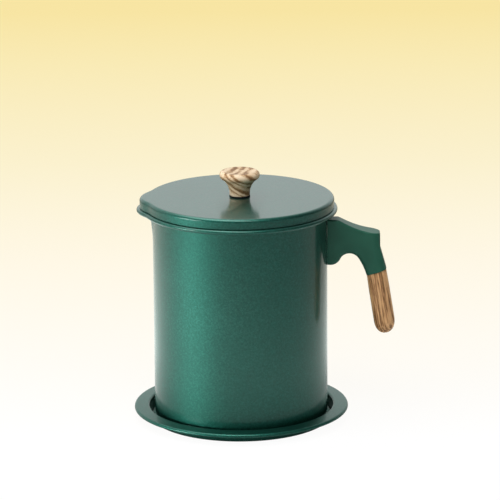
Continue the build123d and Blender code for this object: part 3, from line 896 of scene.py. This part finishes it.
def strainer_mesh():
    """Perforated disc on the cup's shoulder."""
    sheet = perforated(CUP_RADIUS - CUP_LEDGE + MESH_OVERLAP, CUP_FLOOR + CUP_SHEET)
    disc = finish_mesh(
        "mesh_disc", sheet, MESH_STEEL, "strainer", "strainer_mesh", weighted=False
    )
    disc.data.shade_flat()
    thick = disc.modifiers.new("thick", "SOLIDIFY")
    thick.thickness = MESH_THICKNESS * MM
    thick.offset = 1.0


strainer_mesh()

# ------------------------------------------------------------------ nodes of the frame that stay
FINISHES = {
    "handle_arm": MOULDING,
    "handle_bracket": STEEL,
    "handle_screw": STEEL,
    "grip_stud": STEEL,
    "strainer_ring": STEEL,
    "knob_insert": BRASS,
    "knob_washer": STEEL,
    "knob_screw": STEEL,
}
for node, material in FINISHES.items():
    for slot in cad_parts[node].material_slots:
        slot.material = material

# ------------------------------------------------------------------ floor, in metres
FLOOR_HALF = 9.0
FLOOR_DROP = 0.0002           # below the tray, so that the two faces don't coincide
FLOOR_START = 0.1             # in front of the pot's axis, where the floor's colours start
FLOOR_RUN = 2.0               # how far back they run
FLOOR_SEEN = 0.96             # share of glow that the camera sees, the rest shows the shadow
FLOOR_MIRRORED = 0.5          # share of glow in mirrored rays
POOL_CENTRE = (-0.24, 0.0, 0.0)         # centre of the painted pool of light in the floor's glow, which the enamel mirrors
# tint of that painted pool of light
POOL_TINT = (0.66, 0.8, 0.79)


def floor_material():
    """Pale floor: near white by the object, warmer further out, and it keeps the object's shadow.

    For mirrored rays a pool of light to the left of the object is painted into the floor's glow, with a
    painted shadow that dims it right beside the tray; the enamel mirrors both.
    """
    nodes = MaterialNodes("floor")
    where = nodes.add("ShaderNodeTexCoord").outputs["Object"]
    behind = nodes.add("ShaderNodeSeparateXYZ", {0: where}).outputs[1]
    colour = nodes.ramp(
        nodes.times(nodes.plus(behind, FLOOR_START), 1 / FLOOR_RUN, clamp=True),
        [
            (0.02, linear(255, 255, 255)),
            (0.11, linear(255, 252, 245)),
            (0.25, linear(255, 248, 230)),
            (0.42, linear(252, 242, 207)),
            (0.63, linear(251, 236, 182)),
            (0.75, linear(250, 231, 165)),
        ],
    )
    path = nodes.add("ShaderNodeLightPath").outputs
    mirrored = nodes.mirrored(path)
    from_pool = nodes.add("ShaderNodeVectorMath", {0: where, 1: POOL_CENTRE}, operation="DISTANCE")
    from_axis = nodes.add("ShaderNodeVectorMath", {0: where}, operation="LENGTH")
    # painted pool of light, and a painted shadow right beside the tray, in the glow that mirrored rays see
    pool = nodes.fall(from_pool.outputs["Value"], near=0.16, far=0.66, inside=2.25, outside=0.12)
    painted_shadow = nodes.fall(from_axis.outputs["Value"], near=0.08, far=0.2, inside=0.15, outside=1.0)
    strength = nodes.plus(path["Is Camera Ray"], nodes.times(mirrored, nodes.times(pool, painted_shadow)))
    tint = nodes.mix(mirrored, colour, POOL_TINT)
    glow = nodes.add("ShaderNodeEmission", {"Color": tint, "Strength": strength}).outputs[0]
    shaded = nodes.add("ShaderNodeBsdfDiffuse", {"Color": colour, "Roughness": 0.5}).outputs[0]
    seen = nodes.plus(nodes.times(path["Is Camera Ray"], FLOOR_SEEN), nodes.times(mirrored, FLOOR_MIRRORED))
    return nodes.finish(nodes.add("ShaderNodeMixShader", {0: seen, 1: shaded, 2: glow}))


def stage_floor():
    """Large floor just under the tray."""
    made = bmesh.new()
    bmesh.ops.create_grid(made, x_segments=1, y_segments=1, size=FLOOR_HALF)
    mesh = bpy.data.meshes.new("floor")
    made.to_mesh(mesh)
    made.free()
    mesh.materials.append(floor_material())
    floor = bpy.data.objects.new("floor", mesh)
    floor.location = (0, 0, -FLOOR_DROP)
    bpy.context.collection.objects.link(floor)


stage_floor()

# ------------------------------------------------------------------ light
AMBIENT = 0.24
AMBIENT_TINT = (0.96, 0.98, 1.0)
BRIGHT_SIDE = (-0.35, 1.0, 0.45)        # direction in which the surroundings get bright
BRIGHT_TINT = (0.98, 1.0, 1.0)
DARK_GREY = 0.13


def studio_world():
    """Soft even light; what is seen or mirrored runs from dark in front to white behind and above."""
    nodes = Nodes(bpy.data.worlds.new("studio"), "ShaderNodeOutputWorld")
    around = nodes.add("ShaderNodeTexCoord").outputs["Generated"]
    toward = nodes.add("ShaderNodeVectorMath", {0: around, 1: BRIGHT_SIDE}, operation="DOT_PRODUCT")
    fade = nodes.ramp(toward.outputs["Value"], [(0.1, DARK_GREY), (0.9, BRIGHT_TINT)])
    ambient = nodes.add("ShaderNodeBackground", {"Color": AMBIENT_TINT, "Strength": AMBIENT}).outputs[0]
    backdrop = nodes.add("ShaderNodeBackground", {"Color": fade}).outputs[0]
    path = nodes.add("ShaderNodeLightPath").outputs
    seen = nodes.plus(path["Is Camera Ray"], nodes.mirrored(path), clamp=True)
    return nodes.finish(nodes.add("ShaderNodeMixShader", {0: seen, 1: ambient, 2: backdrop}))


def lamp(name, at, aim, width, height, power, spread=180):
    """A soft rectangular studio light, in metres, watts and degrees."""
    data = bpy.data.lights.new(name, "AREA")
    data.shape = "RECTANGLE"
    data.size = width
    data.size_y = height
    data.energy = power
    data.spread = radians(spread)
    light = bpy.data.objects.new(name, data)
    light.location = at
    light.rotation_euler = (Vector(aim) - Vector(at)).to_track_quat("-Z", "Y").to_euler()
    bpy.context.collection.objects.link(light)


bpy.context.scene.world = studio_world()
lamp("key", at=(-1.28, -0.62, 0.12), aim=(0, 0, 0), width=1.1, height=0.2, power=1.35, spread=40)
lamp("fill", at=(1.4, -1.4, 0.9), aim=(0, 0, 0.08), width=1.0, height=1.4, power=0.9)
lamp("high", at=(-0.3, -0.55, 1.2), aim=(0, 0, 0.1), width=1.6, height=0.5, power=10.0)
lamp("top", at=(-0.25, -0.1, 1.1), aim=(0, 0, 0.1), width=1.4, height=0.5, power=7.5)

# ------------------------------------------------------------------ camera
PHOTO_PIXELS = 500            # width and height of the photograph
FOCAL_PIXELS = 3818.906
TARGET = Vector((0, 0, 0.08))           # a point on the pot's axis, in metres
TARGET_PIXEL = (240.6, 303.9)           # where that point falls in the photograph
DISTANCE = 2.641876           # metres, from the camera to that point
ELEVATION = radians(15.95)
ROLL = radians(0.45)
SENSOR_WIDTH = 36.0           # millimetres


def photo_camera():
    """The photograph's camera: it looks past the target, so that the target falls on its pixel."""
    ahead = Vector((0, cos(ELEVATION), -sin(ELEVATION)))
    level = Vector((1, 0, 0))
    up = level.cross(ahead)
    rolled_right = level * cos(ROLL) - up * sin(ROLL)
    rolled_up = level * sin(ROLL) + up * cos(ROLL)
    across = PHOTO_PIXELS / 2 - TARGET_PIXEL[0]
    rise = TARGET_PIXEL[1] - PHOTO_PIXELS / 2
    look = (ahead * FOCAL_PIXELS + rolled_right * across + rolled_up * rise).normalized()
    side = look.cross(rolled_up).normalized()
    pose = Matrix((side, side.cross(look), -look)).transposed().to_4x4()
    pose.translation = TARGET - ahead * DISTANCE
    data = bpy.data.cameras.new("camera")
    data.sensor_width = SENSOR_WIDTH
    data.lens = FOCAL_PIXELS / PHOTO_PIXELS * SENSOR_WIDTH
    data.clip_start = 0.1
    data.clip_end = 60.0
    camera = bpy.data.objects.new("camera", data)
    camera.matrix_world = pose
    bpy.context.collection.objects.link(camera)
    return camera


bpy.context.scene.camera = photo_camera()
bpy.context.scene.view_settings.view_transform = "Standard"
